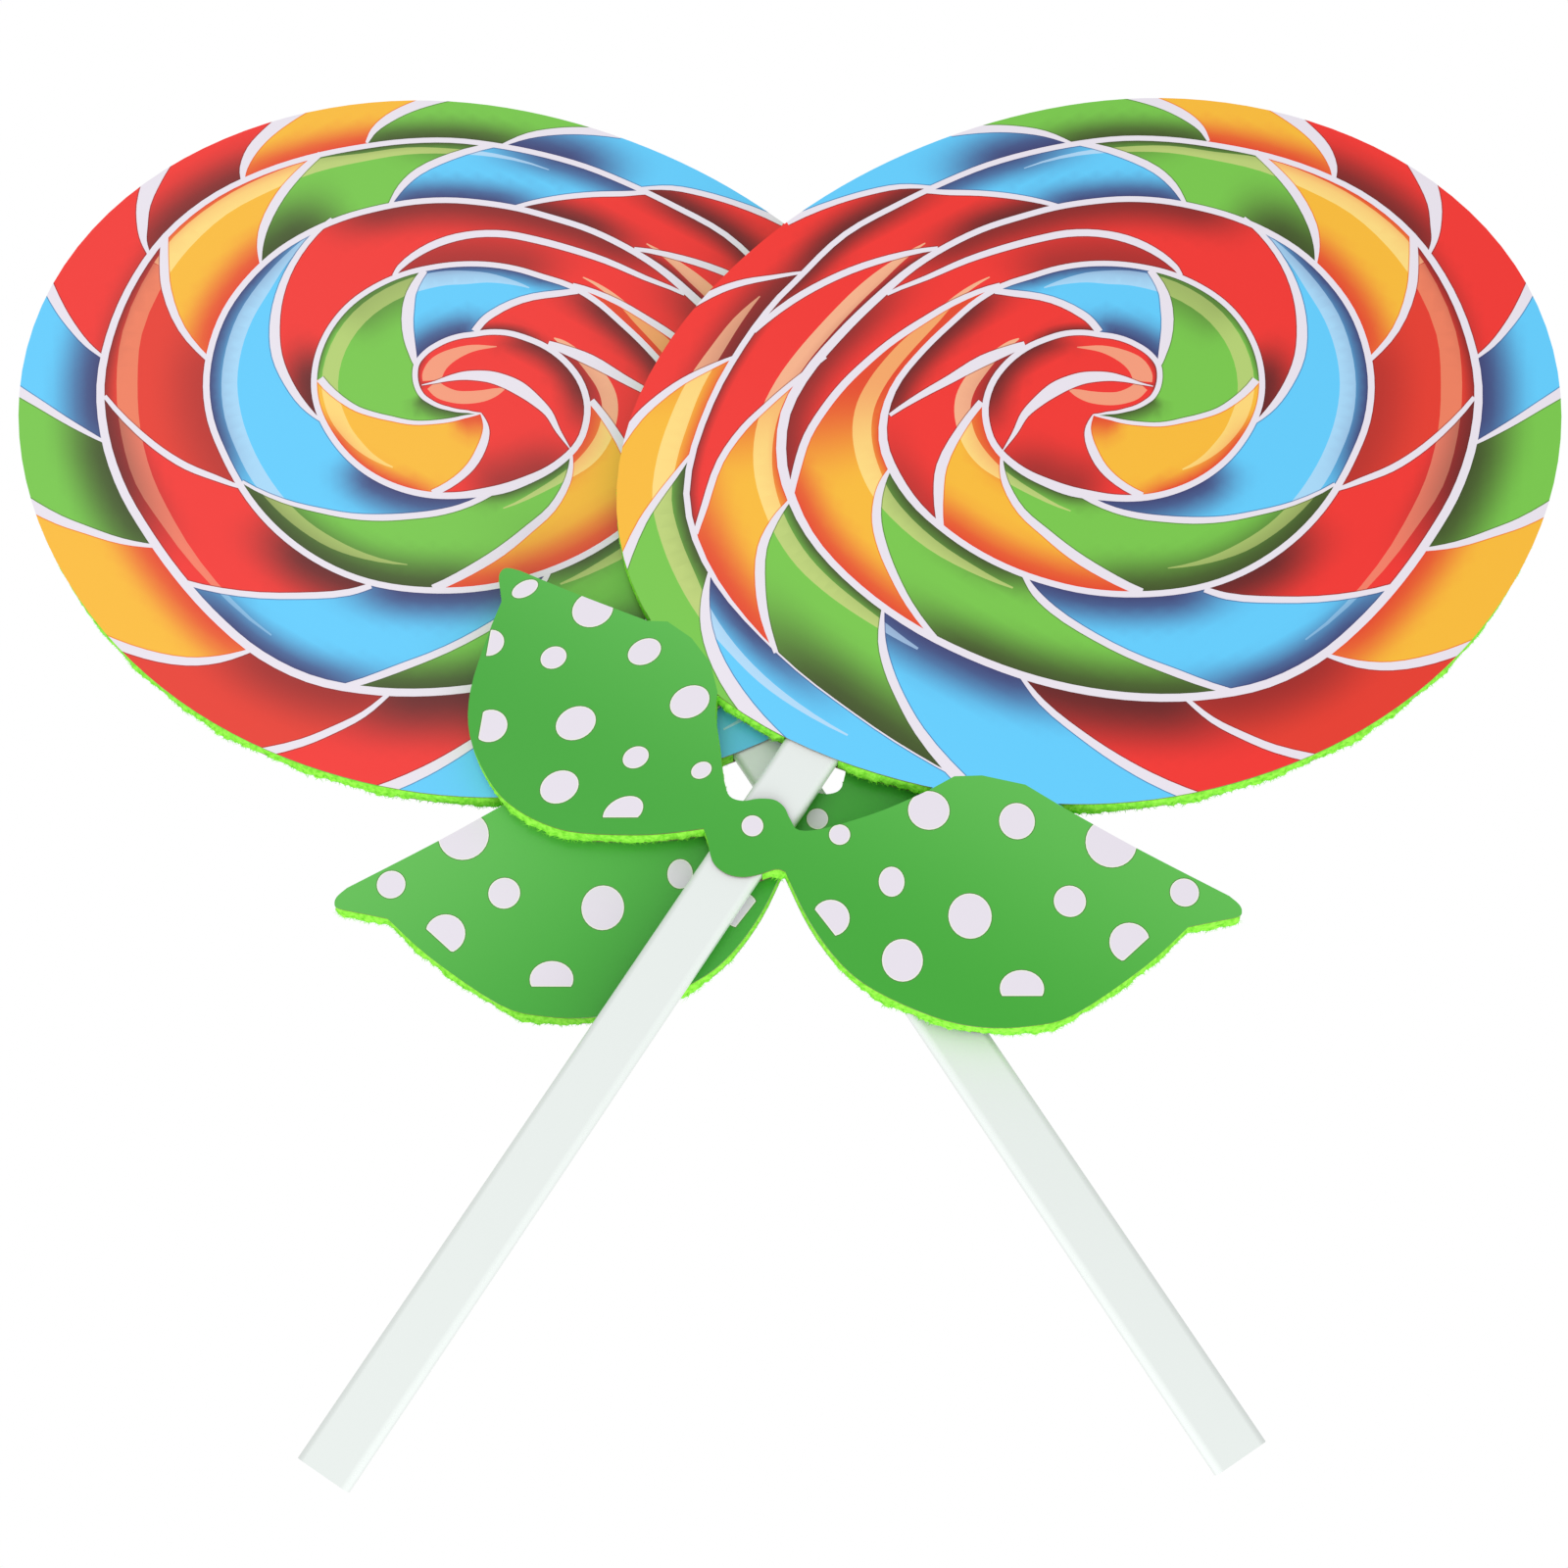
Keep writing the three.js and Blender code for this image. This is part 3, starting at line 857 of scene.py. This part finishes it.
def felt_nap(name, prefix, material):
    """The nap and its fibres round every outline of a prop's felt core."""
    rng = random.Random(name)
    low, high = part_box(prefix + "_felt_core")
    low_z, high_z = low.z / MM, high.z / MM
    loops = outline_loops(prefix + "_felt_core", prefix)
    hand = 1 if signed_area(loops[0]) > 0 else -1
    verts, faces = [], []

    def vertex(own, z):
        place = to_sheet(prefix, own)
        verts.append((place.x * MM, place.y * MM, z * MM))
        return len(verts) - 1

    for loop in loops:
        rows = []
        for place, along in even_stations(loop):
            out = Vector((along.y, -along.x)) * hand
            height = nap_height(place, out)
            if height <= 0:
                rows.append(None)
                continue
            row = []
            for k in range(NAP_ROWS + 1):
                v = k / NAP_ROWS
                z = low_z + (high_z - low_z) * v
                spot = Vector([c * NAP_ROUGHNESS_SCALE for c in (place.x, place.y, z)])
                rough = NAP_ROUGHNESS * height * noise.noise(spot)
                bulge = math.sin(math.pi * v) ** NAP_BULGE_POWER * (NAP_ROOT + height + rough)
                row.append(vertex(place + out * (bulge - NAP_ROOT), z))
            rows.append(row)
            for _ in range(FIBRES_PER_STEP):
                root = place + along * rng.uniform(-0.5, 0.5) * NAP_STEP
                z = rng.uniform(low_z + FIBRE_MARGIN_BELOW, high_z - FIBRE_MARGIN_ABOVE)
                lean = along * rng.uniform(-FIBRE_LEAN, FIBRE_LEAN)
                reach = min(FIBRE_REACH, height) * rng.uniform(*FIBRE_LENGTHS)
                rise = rng.uniform(-FIBRE_RISE, FIBRE_RISE)
                tip = vertex(root + (out + lean) * (height + reach), z + rise)
                foot = root + out * (height - FIBRE_ROOT)
                base = [vertex(foot + along * side, z + up) for side, up in FIBRE_BASE]
                faces += [(base[k], base[(k + 1) % 3], tip) for k in range(3)]
                faces.append(base[::-1])
        for a, b in zip(rows, rows[1:] + rows[:1]):
            if a and b:
                faces += [(a[k], b[k], b[k + 1], a[k + 1]) for k in range(NAP_ROWS)]
    obj = new_piece(name, verts, faces, material)
    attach(obj, prefix)


# ---- Materials ----

UNDERCOAT = (200, 200, 200)  # lies under the card's and the felt's own colours
SPECKLE_SCALE = 700  # the size of the felt's spots: a larger scale makes them smaller
SPECKLE_DETAIL = 4
FELT_TONES = [(0.3, FELT_DARK), (0.62, FELT_LIGHT)]


def shader(name, roughness, specular, colour=UNDERCOAT):
    """A new material with its node tree and its surface node."""
    material = bpy.data.materials.new(name)
    material.use_nodes = True
    surface = material.node_tree.nodes["Principled BSDF"]
    surface.inputs["Base Color"].default_value = (*linear(colour), 1)
    surface.inputs["Roughness"].default_value = roughness
    surface.inputs["Specular IOR Level"].default_value = specular
    return material, material.node_tree, surface


def card_material():
    """Glossy card in the colours of its print."""
    material, tree, surface = shader("printed_card", roughness=0.28, specular=0.24)
    paint = tree.nodes.new("ShaderNodeVertexColor")
    paint.layer_name = "print"
    tree.links.new(paint.outputs["Color"], surface.inputs["Base Color"])
    return material


def felt_material():
    """Lime felt, a little lighter and darker from fibre to fibre."""
    material, tree, surface = shader("felt", roughness=0.95, specular=0.1)
    where = tree.nodes.new("ShaderNodeTexCoord")
    speckle = tree.nodes.new("ShaderNodeTexNoise")
    speckle.inputs["Scale"].default_value = SPECKLE_SCALE
    speckle.inputs["Detail"].default_value = SPECKLE_DETAIL
    tones = tree.nodes.new("ShaderNodeValToRGB")
    for stop, (position, colour) in zip(tones.color_ramp.elements, FELT_TONES):
        stop.position = position
        stop.color = (*linear(colour), 1)
    tree.links.new(where.outputs["Object"], speckle.inputs["Vector"])
    tree.links.new(speckle.outputs["Fac"], tones.inputs["Fac"])
    tree.links.new(tones.outputs["Color"], surface.inputs["Base Color"])
    return material


CARD = card_material()
FELT = felt_material()
STICK, _, _ = shader("stick_plastic", roughness=0.25, specular=0.4, colour=STICK_WHITE)

# ---- The pieces ----

printed_card("front_face_print", "front_lollipop", "front_lollipop_face_card", True, CARD)
printed_card("front_rear_print", "front_lollipop", "front_lollipop_rear_card", False, CARD)
printed_card("back_rear_print", "back_lollipop", "back_lollipop_rear_card", True, CARD)
printed_card("back_face_print", "back_lollipop", "back_lollipop_face_card", False, CARD)

for prefix in FEET:
    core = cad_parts[prefix + "_felt_core"]
    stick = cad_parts[prefix + "_stick"]
    for node, material in ((core, FELT), (stick, STICK)):
        node.data.materials.clear()
        node.data.materials.append(material)
    felt_nap(prefix + "_felt_nap", prefix, FELT)

# ---- Camera and light ----

CAMERA_AIM = Vector((-0.36, -17.28, 19.1)) * MM
CAMERA_DISTANCE = 806 * MM
CAMERA_TILT = math.radians(73.5)
CAMERA_SENSOR = 36
CAMERA_LENS = 58.94

camera_data = bpy.data.cameras.new("camera")
camera_data.sensor_width = CAMERA_SENSOR
camera_data.lens = CAMERA_LENS
camera = bpy.data.objects.new("camera", camera_data)
bpy.context.scene.collection.objects.link(camera)
toward = Vector((0, -math.cos(CAMERA_TILT), math.sin(CAMERA_TILT)))
camera.location = CAMERA_AIM + toward * CAMERA_DISTANCE
camera.rotation_mode = "QUATERNION"
camera.rotation_quaternion = (-toward).to_track_quat("-Z", "Y")
bpy.context.scene.camera = camera


WHITE = (1, 1, 1, 1)
BACKDROP_STRENGTH = 1.0  # what the camera sees behind the props
AMBIENT_STRENGTH = 0.79  # what lights them from all round


def area_light(name, place, size, power):
    """A soft light that points at the props, in metres and watts."""
    data = bpy.data.lights.new(name, "AREA")
    data.shape = "RECTANGLE"
    data.size, data.size_y = size
    data.energy = power
    light = bpy.data.objects.new(name, data)
    light.location = place
    light.rotation_mode = "QUATERNION"
    light.rotation_quaternion = (-Vector(place)).to_track_quat("-Z", "Y")
    bpy.context.scene.collection.objects.link(light)


world = bpy.data.worlds.new("white")
bpy.context.scene.world = world
world.use_nodes = True
nodes = world.node_tree.nodes
links = world.node_tree.links
backdrop = nodes["Background"]
backdrop.inputs["Color"].default_value = WHITE
backdrop.inputs["Strength"].default_value = BACKDROP_STRENGTH
ambient = nodes.new("ShaderNodeBackground")
ambient.inputs["Color"].default_value = WHITE
ambient.inputs["Strength"].default_value = AMBIENT_STRENGTH
seen = nodes.new("ShaderNodeLightPath")
choose = nodes.new("ShaderNodeMixShader")
links.new(seen.outputs["Is Camera Ray"], choose.inputs["Fac"])
links.new(ambient.outputs["Background"], choose.inputs[1])
links.new(backdrop.outputs["Background"], choose.inputs[2])
links.new(choose.outputs["Shader"], nodes["World Output"].inputs["Surface"])
area_light("soft_top", (-0.5, 0.5, 1.4), (1.0, 1.0), 3.5)
area_light("soft_front", (0, -1.3, 0.35), (1.4, 0.5), 11)

bpy.context.scene.view_settings.view_transform = "Standard"
